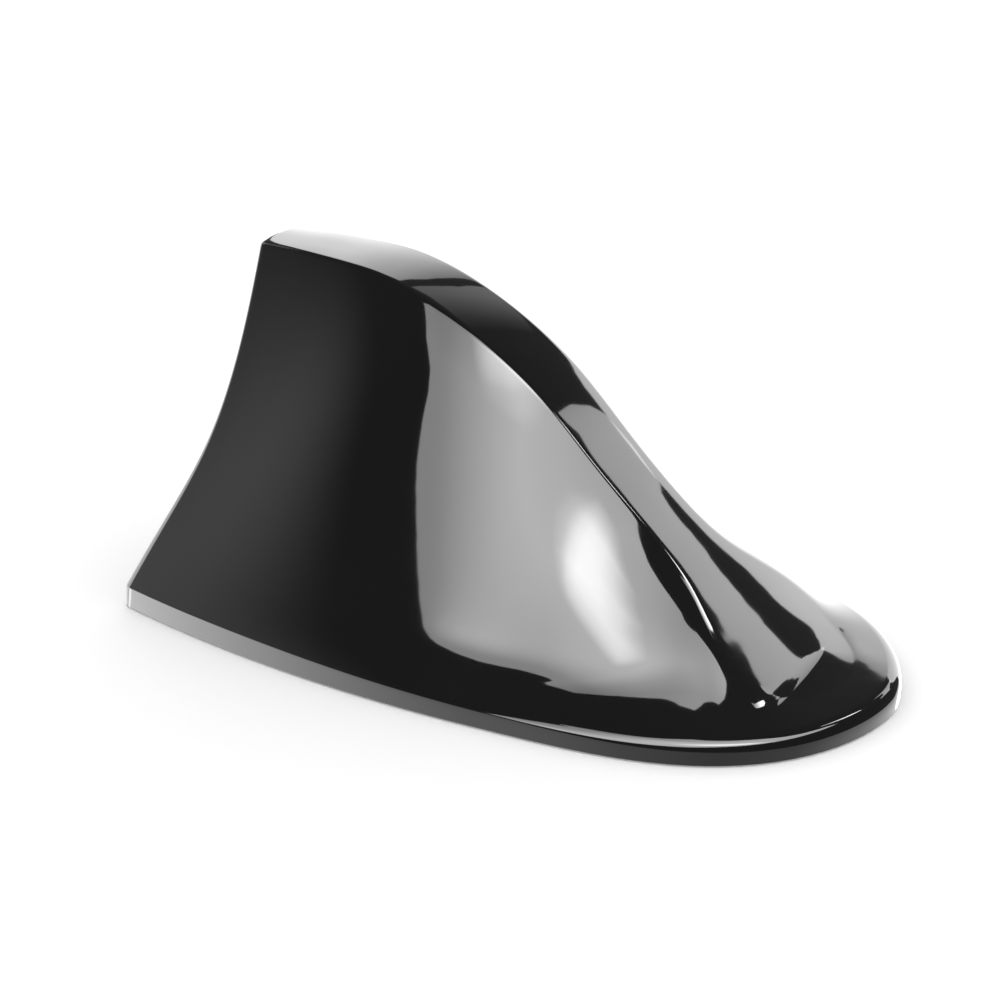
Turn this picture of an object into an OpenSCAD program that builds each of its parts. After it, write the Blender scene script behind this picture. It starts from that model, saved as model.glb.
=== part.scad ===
// Roof-mounted fin aerial for a car: a glossy moulded fin cover over a base plate,
// an amplifier board and a loaded coil with a top plate.
// X runs from the tall rear (-) to the low nose (+), Z is up, all sizes in mm.

/* [Cover] */
// overall length of the cover along X
cover_l = 150; // [146:1:165]
// overall width of the cover at its widest
cover_w = 77; // [74:1:88]
// width of the cover at its rear edge
rear_w = 52; // [50:1:62]
// height of the crest at the rear, above the roof
crest_h = 73; // [70:0.5:82]
// height of the upright skirt round the foot
skirt_h = 5; // [4.6:0.1:5.8]
// wall thickness of the cover
wall = 2.2; // [1.8:0.1:2.4]
// distance from the rear edge to the widest place
widest_at = 83; // [78:1:92]
// distance the rear wall leans forward from foot to crest
rear_lean = 23.4; // [20:0.2:26]
// width of the crest at its rear end
crest_rear_w = 12.5; // [11.5:0.5:16]
// width of the crest half way down
crest_mid_w = 16.8; // [15:0.2:21]
// width that the crest spreads to where its edges fade into the nose
crest_front_w = 35.3; // [32:0.5:38]
// rise of the crest's middle above its edges
crest_crown = 0.4; // [0.2:0.1:1.5]
// rise of the low nose's middle above its rim
nose_dome = 1.6; // [0.4:0.2:2]
// radius of the rolled edge above the skirt at the nose
nose_roll = 2.6; // [1.5:0.1:2.8]
// radius of the rolled edge above the skirt at the rear
rear_roll = 0.6; // [0.4:0.1:1]
// width of the flared flange round the foot, at the nose
flange_w = 5; // [3:0.5:6]
// height over which the flange flares out of the flank
flange_h = 8; // [6:0.5:10]

/* [Base] */
// thickness of the foam adhesive pad
pad_t = 1.2; // [1:0.1:1.4]
// thickness of the base plate
plate_t = 2.2; // [2:0.1:2.6]
// gap between the skirt and the roof
skirt_gap = 0.4; // [0.3:0.1:0.6]
// diameter of the lead grommet's bore
lead_d = 5; // [4:0.5:6]
// diameter of the screw shanks in the base
screw_d = 2.5; // [2.2:0.1:2.9]

/* [Electronics] */
// length of the circuit board
board_l = 78; // [72:1:82]
// width of the circuit board
board_w = 30; // [28:1:32]
// thickness of the circuit board
board_t = 1.6; // [1.2:0.1:2]
// diameter of the coil former
former_d = 11; // [9:0.5:12]
// height of the coil former above the board
former_h = 36; // [32:0.5:37]
// diameter of the coil wire
wire_d = 1; // [0.8:0.1:1.2]
// turns of the coil wire
coil_turns = 9; // [6:1:10]

/* [Hidden] */
$fn = 32;
rear_x = -cover_l / 2;
clear = 0.2;

// the cover's surface: how finely it is cut, and the shape of its plan and crest
ribs = 46;
roll_steps = 4;
flank_steps = 11;
cross_steps = 6;
nose_pow = 3.34;
nose_root = 1.7;
rear_taper = 0.3;
crest_fade = 0.855;
round_from = 0.8;
round_pow = 3;
dome_from = 0.7;
dome_run = 0.18;
dome_full = 0.84;
nose_run = 0.06 * cover_l;
// share of the crest's height above the skirt, along its run
crest_heights = [[0, 1], [0.1, 0.994], [0.23, 0.969], [0.36, 0.877], [0.49, 0.724], [0.62, 0.49],
    [0.735, 0.297], [0.843, 0.124], [0.91, 0.042], [0.935, 0.018], [0.96, 0.008], [1, 0.004]];
// share of the way from the middle width to the front width, along its run
crest_spread = [[0.28, 0], [0.56, 0], [0.7, -0.018], [0.76, 0.127], [0.81, 0.545], [0.85, 0.864],
    [0.9, 1], [1, 1]];
crest_widths = concat([[0, crest_rear_w / 2]],
    [for (p = crest_spread) [p[0], mix(crest_mid_w, crest_front_w, p[1]) / 2]]);
// how far each rib is pulled off a straight line near its foot and near the crest: rear, middle, nose
foot_pull = [[0.65, 0.32, 0.41], [0.3, 0.11, 0.41], [0.33, 0.33, 0.32]];
crest_pull = [[0.2, 0.49, 0.57], [0.11, 0.36, 0.23], [0.33, 0.33, 0.42]];
middle_by = 0.36;
nose_from = 0.6;
flange_from = 0.12;
flange_by = 0.62;
flange_bend = 2.5;

function mix(a, b, t) = a + (b - a) * t;
function ease(t) = let(c = min(max(t, 0), 1)) c * c * (3 - 2 * c);
function slope_at(p, i) = i == 0 ? (p[1][1] - p[0][1]) / (p[1][0] - p[0][0])
    : i == len(p) - 1 ? (p[i][1] - p[i - 1][1]) / (p[i][0] - p[i - 1][0])
    : (p[i + 1][1] - p[i - 1][1]) / (p[i + 1][0] - p[i - 1][0]);
function hermite(a, b, da, db, t) = (2 * t * t * t - 3 * t * t + 1) * a + (t * t * t - 2 * t * t + t) * da
    + (3 * t * t - 2 * t * t * t) * b + (t * t * t - t * t) * db;
function span_of(p, x, i = 0) = i >= len(p) - 2 || x <= p[i + 1][0] ? i : span_of(p, x, i + 1);
function curve(p, x) = let(i = span_of(p, x), h = p[i + 1][0] - p[i][0])
    hermite(p[i][1], p[i + 1][1], slope_at(p, i) * h, slope_at(p, i + 1) * h, (x - p[i][0]) / h);

// half width of the plan outline at a distance s from the rear edge
function half_w(s) = s < widest_at
    ? hermite(rear_w / 2, cover_w / 2, rear_taper * widest_at, 0, s / widest_at)
    : cover_w / 2 * pow(max(0, 1 - pow((s - widest_at) / (cover_l - widest_at), nose_pow)), 1 / nose_root);
// distance from the rear edge of rib i, closer together round the nose
side_ribs = floor(ribs * 0.42);
function along(i, d) = i <= side_ribs ? mix(d, widest_at, i / side_ribs)
    : widest_at + (cover_l - widest_at) * sin(90 * (i - side_ribs) / (ribs - side_ribs));
function foot(i) = let(s = along(i, 0)) [s, half_w(s)];
function inward(i) = i >= ribs ? [-1, 0]
    : let(a = foot(max(i - 1, 0)), b = foot(i + 1), t = b - a) [t[1], -t[0]] / norm(t);
// crest edge at a fraction f of its run: distance from rear, half width, height
// share that is left of the crest's squared width where its end is rounded off
function crest_end(f) = max(0, 1 - pow(max(0, (f - round_from) / (1 - round_from)), round_pow));
function crest_half(f) = curve(crest_widths, f) * sqrt(crest_end(f));
// rise of the crest's middle above its edges
function crown(f) = crest_crown * crest_end(f);
// gentle rise of the low nose at a distance y from its middle, reach is the half width that it covers
function dome(f, y, reach) = nose_dome * ease((f - dome_from) / dome_run)
    * pow(1 - pow(min(max((f - dome_full) / (1 - dome_full), 0), 1), 2), 2)
    * pow(1 - pow(min(abs(y) / max(reach, 1), 1), 2), 2);
function lifted(p, f, reach) = [p[0], p[1], p[2] + dome(f, p[1], reach)];
function crest_z(f) = mix(skirt_h, crest_h, curve(crest_heights, f));
function crest_edge(f) = [mix(rear_lean, cover_l - nose_run, f), crest_half(f), crest_z(f)];
// fall of the crest per mm of its run
function crest_fall(f) = let(a = f - 0.005, b = min(f + 0.005, 1))
    (crest_z(b) - crest_z(a)) / (b - a) / (cover_l - nose_run - rear_lean);

function bezier(a, b, c, e, t) = (1 - t) * (1 - t) * (1 - t) * a + 3 * (1 - t) * (1 - t) * t * b
    + 3 * (1 - t) * t * t * c + t * t * t * e;
function by_parts(a, b, k) = [for (c = [0:2]) mix(a[c], b[c], k[c])];
function pull(p, f) = mix(mix(p[0], p[1], ease(f / middle_by)), p[2],
    ease((f - nose_from) / (1 - nose_from)));
function shifted(p, n, by) = [p[0] + n[0] * by, p[1] + n[1] * by, p[2]];

// one rib from the foot up to the crest edge, d is how far inside the outer face it runs
function rib(i, d) = let(
    s = along(i, d), f = (s - d) / (cover_l - d), n = inward(i),
    b = [s, half_w(s), skirt_gap] + d * [i == 0 ? 0 : n[0], n[1], 0],
    r = max(mix(rear_roll, nose_roll, ease(f * 1.15)) - d, 0.4),
    top = skirt_h - d,
    e = crest_edge(f),
    k = [e[0] + (1 - 2 * f) * d, max(e[1] - 0.9 * d, i >= ribs ? 0 : 0.6 * (1 - f * f)), e[2] - 1.15 * d],
    k1 = pull(foot_pull, f), k2 = pull(crest_pull, f),
    rise = max(k[2] - top, 0.3), flare_h = min(flange_h, rise),
    flare = flange_w * ease((f - flange_from) / (flange_by - flange_from)) * ease((1.06 - f) / 0.3),
    run = norm([(k[0] - b[0]) * k1[0], (k[1] - b[1]) * k1[1]]),
    sweep = 90 - atan(1 / (run / (rise * k1[2]) + flange_bend * flare / flare_h)),
    start = shifted([b[0], b[1], top], n, r * (1 - cos(sweep)) + flare),
    reach = start[1] - n[1] * flare,
    p1 = by_parts(start, k, k1), p2 = by_parts(k, start, k2),
    lean = 2 * crown(f) / max(e[1], 0.1),
    level_z = k[2] + crest_fall(f) * (p2[0] - k[0]) - lean * (p2[1] - k[1]),
    p3 = [p2[0], p2[1], mix(p2[2], level_z, ease((f - nose_from) / (crest_fade - nose_from)))])
    concat([b],
        [for (j = [0:roll_steps - 1]) let(a = sweep * j / roll_steps)
            shifted([b[0], b[1], top - r * (sin(sweep) - sin(a))], n, r * (1 - cos(a)))],
        [for (j = [0:flank_steps - 1]) let(p = bezier(start, p1, p3, k, j / flank_steps),
            left = min(max(1 - (p[2] - top) / flare_h, 0), 1))
            lifted(shifted(p, n, -flare * pow(left, flange_bend)), f, reach)],
        [lifted(k, f, reach)]);

levels = 1 + roll_steps + flank_steps + 1;
across = cross_steps - 1;
loop = 2 * ribs + 1 + across;
function flip(p) = [p[0], -p[1], p[2]];
function to_part(p) = [p[0] + rear_x, p[1], p[2]];
// closed loops of points, one per level, from the foot up to the crest edge
function skin_points(d) = let(r = [for (i = [0:ribs]) rib(i, d)])
    concat([for (v = [0:levels - 1]) each concat(
        [for (i = [0:ribs]) to_part(flip(r[i][v]))],
        [for (i = [ribs - 1:-1:0]) to_part(r[i][v])],
        [for (j = [1:across]) let(y = 1 - 2 * j / cross_steps, p = r[0][v],
            c = v == levels - 1 ? crown(0) * (1 - y * y) : 0)
            to_part([p[0], p[1] * y, p[2] + c])])],
    // rows across the crest, from the second rib to the last but one
    [for (i = [1:ribs - 1]) each [for (j = [1:across]) let(y = -1 + 2 * j / cross_steps,
        p = r[i][levels - 1], reach = r[i][1 + roll_steps][1], f = (along(i, d) - d) / (cover_l - d),
        c = crown(f) * (1 - y * y) + dome(f, p[1] * y, reach) - dome(f, p[1], reach))
        to_part([p[0], p[1] * y, p[2] + c])]]);
crest_start = levels * loop;
top_loop = (levels - 1) * loop;
// index of a point of the crest: rib i, column j from the -Y edge to the +Y edge
function crest_at(i, j) = j == 0 ? top_loop + i
    : j == cross_steps ? top_loop + 2 * ribs - i
    : i == 0 ? top_loop + loop - j
    : crest_start + (i - 1) * across + j - 1;
skin_faces = concat(
    [for (v = [0:levels - 2]) each [for (i = [0:loop - 1])
        let(a = v * loop + i, b = v * loop + (i + 1) % loop)
        each [[a, b, b + loop], [a, b + loop, a + loop]]]],
    [for (i = [0:ribs - 2]) each [for (j = [0:cross_steps - 1])
        let(a = crest_at(i, j), b = crest_at(i + 1, j), c = crest_at(i + 1, j + 1), e = crest_at(i, j + 1))
            each [[a, b, c], [a, c, e]]]],
    [for (j = [0:cross_steps - 1]) [crest_at(ribs - 1, j), top_loop + ribs, crest_at(ribs - 1, j + 1)]]);
function turned(f) = [f[2], f[1], f[0]];

module skin_solid(d) {
    p = skin_points(d);
    polyhedron(points = p, faces = concat([for (f = skin_faces) turned(f)],
        [for (j = [0:ribs - 1]) each [[j, j + 1, 2 * ribs - j - 1], [j, 2 * ribs - j - 1, 2 * ribs - j]]],
        [[for (j = [2 * ribs:loop - 1]) j, 0]]), convexity = 6);
}
module cover_shell() {
    outer = skin_points(0);
    inner = skin_points(wall);
    n = len(outer);
    polyhedron(points = concat(outer, inner), faces = concat(
        [for (f = skin_faces) turned(f)],
        [for (f = skin_faces) f + [n, n, n]],
        [for (i = [0:loop - 1]) each [[i, (i + 1) % loop, n + (i + 1) % loop],
            [i, n + (i + 1) % loop, n + i]]]), convexity = 8);
}

// plan outline drawn in by d, as a closed list of points
plan_steps = 2;
function plan_side(d) = [for (i = [0:plan_steps:ribs - 1]) let(n = inward(i), b = foot(i))
    i == 0 ? [rear_x + d, b[1] + n[1] * d] : [rear_x + b[0] + n[0] * d, b[1] + n[1] * d]];
function plan(d) = let(h = plan_side(d)) concat([for (p = h) [p[0], -p[1]]], [[rear_x + cover_l - d, 0]],
    [for (i = [len(h) - 1:-1:0]) h[i]]);
module slab(d, z0, t) {
    translate([0, 0, z0])
        linear_extrude(t)
            polygon(plan(d));
}
module at(places, z) {
    for (p = places)
        translate([p[0], p[1], z])
            children();
}

// heights above the roof
plate_top = pad_t + plate_t;
floor_t = 1.2;
rim_t = 0.8;
rim_in = wall + 0.4;
body_in = 10;
nose_clear = 0.14 * cover_l;
board_gap = 4;
board_z = plate_top + board_gap;
board_top = board_z + board_t;
stem_top = 0.78 * crest_h;

// screws
shank_d = screw_d - 0.1;
boss_d = 6.4;
bore_deep = 2.2;
shank_in = 2;
cover_head_d = 5;
cover_head_h = 1;
head_clear = 0.3;
board_head_d = 4.6;
board_head_h = 1.5;
slot_w = 0.6;

// places on the plan
board_x = -0.18 * board_l;
board_front = board_x + board_l / 2;
former_x = board_x - 0.205 * board_l;
lead_gap = 10;
lead_x = board_front + lead_gap;
fix_rear_x = rear_x + 0.093 * cover_l;
boss_gap = 1.2;
fix_rear_y = board_w / 2 + boss_d / 2 + boss_gap;
fix_mid_x = 0.02 * cover_l;
fix_mid_y = 0.325 * cover_w;
fix_front_x = cover_l / 2 - 0.147 * cover_l;
cover_fix = [[fix_rear_x, -fix_rear_y], [fix_rear_x, fix_rear_y], [fix_mid_x, -fix_mid_y],
    [fix_mid_x, fix_mid_y], [fix_front_x, 0]];
hole_end_in = 5;
hole_side_in = 4;
board_hole_x = board_l / 2 - hole_end_in;
board_hole_y = board_w / 2 - hole_side_in;
board_fix = [for (x = [-1, 1], y = [-1, 1]) [board_x + x * board_hole_x, y * board_hole_y]];

module cover() color([0.03, 0.03, 0.035]) {
    difference() {
        union() {
            cover_shell();
            intersection() {
                skin_solid(wall / 2);
                at(cover_fix, plate_top)
                    cylinder(d = boss_d, h = crest_h);
            }
        }
        at(cover_fix, plate_top - 1)
            cylinder(d = screw_d, h = 1 + bore_deep);
    }
}

standoff_d = 5.4;
neck_d = lead_d + 3;
grommet_d = lead_d + 6;
module base_plate() color([0.10, 0.10, 0.11]) {
    difference() {
        union() {
            slab(rim_in, pad_t, rim_t);
            intersection() {
                slab(body_in, pad_t, plate_t);
                translate([rear_x, -cover_w, 0])
                    cube([cover_l - nose_clear, 2 * cover_w, crest_h]);
            }
            at(board_fix, pad_t)
                cylinder(d = standoff_d, h = board_z - pad_t);
            at(cover_fix, pad_t)
                cylinder(d = boss_d, h = plate_t);
        }
        at(board_fix, pad_t + floor_t)
            cylinder(d = screw_d, h = board_z);
        at(cover_fix, 0)
            cylinder(d = screw_d + head_clear, h = plate_top + 1);
        at(cover_fix, pad_t - 1)
            cylinder(d = cover_head_d + head_clear, h = 1 + cover_head_h);
        at([[lead_x, 0]], 0)
            cylinder(d = neck_d, h = plate_top + 1);
        difference() {
            slab(seal_in, pad_t - 1, 1 + seal_groove);
            slab(seal_in + seal_lip, pad_t - 2, 4);
        }
    }
}
seal_in = 4;
seal_lip = 1.4;
seal_groove = 0.4;
seal_w = 4;
module edge_seal() color([0.05, 0.05, 0.05]) {
    difference() {
        slab(rim_in, 0, pad_t);
        slab(rim_in + seal_w, -1, pad_t + 2);
    }
    difference() {
        slab(seal_in + clear / 2, pad_t, seal_groove - 0.1);
        slab(seal_in + seal_lip - clear / 2, pad_t - 1, 3);
    }
}
module adhesive_pad() color([0.35, 0.35, 0.36]) {
    difference() {
        slab(rim_in + seal_w + 0.4, 0, pad_t);
        at([[lead_x, 0]], -1)
            cylinder(d = grommet_d + 1, h = pad_t + 2);
    }
}

sheet_t = 0.6;
sheet_in = 1;
sheet_hole_d = 9;
module ground_plate() color([0.72, 0.73, 0.74]) {
    difference() {
        translate([board_x - board_l / 2 + sheet_in, -board_w / 2 + sheet_in, plate_top])
            cube([board_l - 2 * sheet_in, board_w - 2 * sheet_in, sheet_t]);
        at(board_fix, 0)
            cylinder(d = standoff_d + 2 * clear, h = crest_h);
        at([[former_x, 0]], 0)
            cylinder(d = sheet_hole_d, h = crest_h);
    }
}
spring_w = 4;
spring_t = 0.4;
module ground_spring() color([0.80, 0.66, 0.36]) {
    rise = board_gap - sheet_t;
    translate([board_x + 0.23 * board_l, spring_w / 2, plate_top + sheet_t])
        rotate([90, 0, 0])
            linear_extrude(spring_w)
                polygon([[0, 0], [7, 0], [9, rise - spring_t], [10, rise - spring_t], [11.5, rise - 1.4],
                    [11.9, rise - 1], [10.3, rise], [8.7, rise], [6.7, spring_t], [0, spring_t]]);
}

peg_d = 2;
peg_y = 6;
former_pegs = [[former_x, -peg_y], [former_x, peg_y]];
coil_r = former_d / 2 + wire_d / 2 + clear;
notch_r = 3;
module circuit_board() color([0.03, 0.22, 0.12]) {
    difference() {
        translate([board_x - board_l / 2, -board_w / 2, board_z])
            cube([board_l, board_w, board_t]);
        at(board_fix, 0)
            cylinder(d = screw_d + 2 * clear, h = crest_h);
        at(former_pegs, 0)
            cylinder(d = peg_d + clear, h = crest_h);
        for (y = [-1, 1])
            translate([board_front, y * board_w / 2, board_z - 1])
                cylinder(r = notch_r, h = board_t + 2);
    }
}

can_l = 0.28 * board_l;
can_w = 0.6 * board_w;
can_h = 4.6;
can_t = 0.4;
can_x = board_x + 0.1 * board_l;
vent_d = 1.8;
tab_gap = 2;
module shield_can() color([0.78, 0.79, 0.80]) {
    difference() {
        translate([can_x - can_l / 2, -can_w / 2, board_top])
            cube([can_l, can_w, can_h]);
        translate([can_x - can_l / 2 + can_t, -can_w / 2 + can_t, board_top - 1])
            cube([can_l - 2 * can_t, can_w - 2 * can_t, can_h + 1 - can_t]);
        for (x = [-0.27, 0, 0.27], y = [-0.22, 0.22])
            translate([can_x + x * can_l, y * can_w, board_top])
                cylinder(d = vent_d, h = can_h + 1);
        for (x = [-0.23, 0.23])
            translate([can_x + x * can_l - tab_gap / 2, -can_w, board_top - 1])
                cube([tab_gap, 2 * can_w, 1.8]);
    }
}
chip_w = 5;
leg_l = 1;
module amplifier_chip() color([0.06, 0.06, 0.07]) {
    translate([can_x - chip_w / 2, -chip_w / 2, board_top + 0.2])
        cube([chip_w, chip_w, 1]);
    for (s = [-1, 1], k = [-1.5:1:1.5])
        translate([can_x + s * (chip_w / 2 + 0.4) - leg_l / 2, k - 0.15, board_top])
            cube([leg_l, 0.3, 0.5]);
}
filter_l = 4.4;
filter_w = 4;
filter_h = 2.2;
filter_in = 1.2;
module filter_block() color([0.80, 0.78, 0.72]) {
    translate([can_x + can_l / 2 - can_t - filter_l - 0.8, -filter_w / 2, board_top])
        difference() {
            cube([filter_l, filter_w, filter_h]);
            for (x = [filter_in, filter_l - filter_in])
                translate([x, filter_w / 2, 0.8])
                    cylinder(d = 0.9, h = filter_h);
        }
}
cap_size = [2, 1.2, 1.1];
cap_places = [[can_x - 0.32 * can_l, -0.28 * can_w], [can_x - 0.32 * can_l, 0.25 * can_w],
    [can_x + 0.28 * can_l, 0.28 * can_w], [board_x - 0.14 * board_l, -0.37 * board_w],
    [board_x - 0.115 * board_l, 0.34 * board_w], [board_x + 0.34 * board_l, -0.24 * board_w]];
module capacitors() color([0.62, 0.50, 0.36]) {
    at(cap_places, board_top)
        translate([-cap_size[0] / 2, -cap_size[1] / 2, 0])
            cube(cap_size);
}
res_size = [1.6, 0.8, 0.5];
res_places = [[can_x - 0.18 * can_l, -0.36 * can_w], [can_x + 0.05 * can_l, 0.35 * can_w],
    [can_x + 0.05 * can_l, -0.34 * can_w], [board_x - 0.2 * board_l, 0.37 * board_w],
    [board_x + 0.31 * board_l, 0.27 * board_w], [board_x - 0.33 * board_l, -0.37 * board_w]];
module resistors() color([0.07, 0.07, 0.09]) {
    at(res_places, board_top)
        translate([-res_size[0] / 2, -res_size[1] / 2, 0])
            cube(res_size);
}
choke_d = 6;
choke_h = 2.8;
groove_deep = 0.5;
module choke() color([0.55, 0.30, 0.16]) {
    translate([board_x + board_l / 3, 0, board_top])
        difference() {
            cylinder(d = choke_d, h = choke_h);
            translate([0, 0, 0.6])
                rotate_extrude()
                    translate([choke_d / 2 - groove_deep, 0])
                        square([2 * groove_deep, choke_h - 1.2]);
            translate([0, 0, choke_h - 0.8])
                cylinder(d = 1.6, h = 2);
        }
}

// coil and top plate
foot_h = 2;
foot_d = former_d + 7;
collar_d = former_d + 3;
collar_h = 2;
stem_d = 7;
pin_h = 3;
pin_hole_d = 2.8;
stem_bore_d = 2;
stem_bore_l = 7;
module coil_former() color([0.86, 0.85, 0.80]) {
    translate([former_x, 0, board_top]) {
        difference() {
            union() {
                cylinder(d = foot_d, h = foot_h);
                cylinder(d = former_d, h = former_h);
                translate([0, 0, former_h])
                    cylinder(d = collar_d, h = collar_h);
                cylinder(d = stem_d, h = stem_top - board_top);
                for (y = [-peg_y, peg_y])
                    translate([0, y, -board_t - 0.3])
                        cylinder(d = peg_d, h = board_t + 1);
            }
            translate([coil_r, 0, -1])
                cylinder(d = pin_hole_d, h = foot_h + 2);
            translate([coil_r, 0, former_h - 1])
                cylinder(d = wire_d + 2 * clear, h = collar_h + 2);
            translate([0, 0, stem_top - board_top - stem_bore_l])
                cylinder(d = stem_bore_d, h = stem_bore_l + 1);
        }
    }
}
wire_sides = 6;
turn_steps = 16;
wire_low = board_top + pin_h;
wire_high = stem_top;
turns_low = board_top + foot_h + 5;
turns_high = board_top + former_h - 3;
tail_steps = 5;
turn_count = coil_turns * turn_steps;
wire_count = turn_count + 2 * tail_steps;
function wire_at(k) = let(
    t = (k - tail_steps) / turn_count, c = min(max(t, 0), 1), a = 360 * coil_turns * c,
    z = t < 0 ? mix(wire_low, turns_low, k / tail_steps)
        : t > 1 ? mix(turns_high, wire_high, (k - tail_steps - turn_count) / tail_steps)
        : mix(turns_low, turns_high, t))
    [former_x + coil_r * cos(a), coil_r * sin(a), z];
function wire_ring(k) = let(
    p = wire_at(k), q = wire_at(min(k + 1, wire_count)) - wire_at(max(k - 1, 0)), t = q / norm(q),
    o = [p[0] - former_x, p[1], 0] / coil_r, b = cross(t, o), u = b / norm(b))
    [for (j = [0:wire_sides - 1]) let(a = 360 * j / wire_sides) p + wire_d / 2 * (cos(a) * o + sin(a) * u)];
module coil_wire() color([0.72, 0.40, 0.20]) {
    n = wire_count;
    polyhedron(points = [for (k = [0:n]) each wire_ring(k)], faces = concat(
        [[for (j = [0:wire_sides - 1]) j]],
        [for (k = [0:n - 1]) each [for (j = [0:wire_sides - 1]) let(a = k * wire_sides + j,
            b = k * wire_sides + (j + 1) % wire_sides, c = b + wire_sides)
            each [[a, a + wire_sides, c], [a, c, b]]]],
        [[for (j = [wire_sides - 1:-1:0]) n * wire_sides + j]]), convexity = 10);
}
top_t = 0.8;
top_w = 11;
top_gap = 5.4;
top_rear = former_x - (rear_x + rear_lean + top_gap);
top_front = 0.06 * cover_l;
top_slope = 0.147 * cover_l;
top_drop = 0.2 * crest_h;
module top_plate() color([0.76, 0.74, 0.68]) {
    difference() {
        translate([former_x, top_w / 2, stem_top])
            rotate([90, 0, 0])
                linear_extrude(top_w)
                    polygon([[-top_rear, 0], [top_front, 0], [top_front + top_slope, -top_drop],
                        [top_front + top_slope, 1 - top_drop], [top_front + 0.3, top_t],
                        [-top_rear, top_t]]);
        at([[former_x, 0]], stem_top - 1)
            cylinder(d = pin_hole_d, h = 2 + top_t);
    }
}
top_head_h = 1.4;
module former_screw() color([0.70, 0.71, 0.72]) {
    at([[former_x, 0]], stem_top + top_t)
        difference() {
            union() {
                cylinder(d1 = 4.6, d2 = 3.6, h = top_head_h);
                translate([0, 0, 1 - stem_bore_l])
                    cylinder(d = stem_bore_d - 0.1, h = stem_bore_l);
            }
            translate([-slot_w / 2, -3, top_head_h - 0.5])
                cube([slot_w, 6, 1]);
        }
}
module feed_pin() color([0.82, 0.68, 0.36]) {
    at([[former_x + coil_r, 0]], board_top) {
        cylinder(d = 2.4, h = pin_h - 1);
        cylinder(d = 1.6, h = pin_h);
    }
}
socket_w = 6.4;
socket_h = 5.4;
socket_z = 2.8;
module lead_socket() color([0.82, 0.70, 0.40]) {
    translate([board_front - 6, 0, board_top]) {
        difference() {
            union() {
                translate([-0.5, -socket_w / 2, 0])
                    cube([5.5, socket_w, socket_h]);
                translate([0, 0, socket_z])
                    rotate([0, 90, 0])
                        cylinder(d = 4.4, h = 10);
            }
            translate([6, 0, socket_z])
                rotate([0, 90, 0])
                    cylinder(d = 3.4, h = 6);
        }
        translate([4, 0, socket_z])
            rotate([0, 90, 0])
                cylinder(d = 0.9, h = 5);
    }
}
lip_h = 1;
crown_h = 1.6;
module lead_grommet() color([0.04, 0.04, 0.04]) {
    bore_r = lead_d / 2;
    lip_r = grommet_d / 2;
    translate([lead_x, 0, 0])
        rotate_extrude()
            polygon([[bore_r, clear], [lip_r - 0.5, clear], [lip_r, 0.6], [lip_r, pad_t],
                [neck_d / 2, pad_t], [neck_d / 2, plate_top], [lip_r, plate_top],
                [lip_r - 0.4, plate_top + lip_h], [bore_r + 1, plate_top + crown_h],
                [bore_r, plate_top + crown_h]]);
}
module cross_slot(l, z) {
    for (a = [0, 90])
        rotate(a)
            translate([-l / 2, -slot_w / 2, z])
                cube([l, slot_w, 1]);
}
module board_screws() color([0.70, 0.71, 0.72]) {
    shank_l = board_top - pad_t - floor_t - 0.6;
    at(board_fix, board_top)
        difference() {
            union() {
                cylinder(d = board_head_d, h = board_head_h);
                translate([0, 0, -shank_l])
                    cylinder(d = shank_d, h = shank_l + 0.5);
            }
            cross_slot(2.6, board_head_h - 0.8);
        }
}
module cover_screws() color([0.66, 0.67, 0.68]) {
    at(cover_fix, pad_t)
        difference() {
            union() {
                cylinder(d = cover_head_d, h = cover_head_h);
                cylinder(d = shank_d, h = plate_t + shank_in);
            }
            cross_slot(2.8, -0.4);
        }
}

cover();
base_plate();
adhesive_pad();
edge_seal();
ground_plate();
circuit_board();
shield_can();
amplifier_chip();
filter_block();
capacitors();
resistors();
choke();
coil_former();
coil_wire();
top_plate();
feed_pin();
ground_spring();
lead_socket();
lead_grommet();
board_screws();
cover_screws();
former_screw();
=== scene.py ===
"""Shark fin aerial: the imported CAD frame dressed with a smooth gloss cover, finishes, studio and camera."""

import math

import bpy
import numpy as np
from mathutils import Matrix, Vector


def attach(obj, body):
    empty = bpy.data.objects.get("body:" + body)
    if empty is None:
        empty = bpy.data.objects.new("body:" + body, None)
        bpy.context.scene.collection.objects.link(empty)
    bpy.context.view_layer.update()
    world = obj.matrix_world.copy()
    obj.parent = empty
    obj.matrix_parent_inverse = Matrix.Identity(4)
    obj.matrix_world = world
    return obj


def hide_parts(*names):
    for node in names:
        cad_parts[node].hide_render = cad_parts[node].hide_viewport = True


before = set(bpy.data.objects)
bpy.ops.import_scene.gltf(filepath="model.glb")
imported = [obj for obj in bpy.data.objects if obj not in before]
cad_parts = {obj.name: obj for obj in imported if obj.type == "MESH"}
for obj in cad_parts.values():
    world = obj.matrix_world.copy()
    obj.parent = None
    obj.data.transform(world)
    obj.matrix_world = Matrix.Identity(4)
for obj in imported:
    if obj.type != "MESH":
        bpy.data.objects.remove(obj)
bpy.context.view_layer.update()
MM = 0.001

# Sizes of the cover, in millimetres, the same as the solids'.
COVER_L = 150.0
COVER_W = 77.0
REAR_W = 52.0
CREST_H = 73.0
SKIRT_H = 5.0
WALL = 2.2
WIDEST_AT = 83.0
REAR_LEAN = 23.4
CREST_REAR_W = 12.5
CREST_MID_W = 16.8
CREST_FRONT_W = 35.3
CREST_CROWN = 0.4
NOSE_ROLL = 2.6
REAR_ROLL = 0.6
SKIRT_GAP = 0.4
NOSE_RUN = 9.0
NOSE_DOME = 1.6
FLANGE_W = 5.0
FLANGE_H = 8.0

# Powers that bend the plan outline at the nose, the crest's rounded end and the flange.
NOSE_POW = 3.34
NOSE_ROOT = 1.7
ROUND_POW = 3.0
FLANGE_BEND = 2.5

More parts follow.
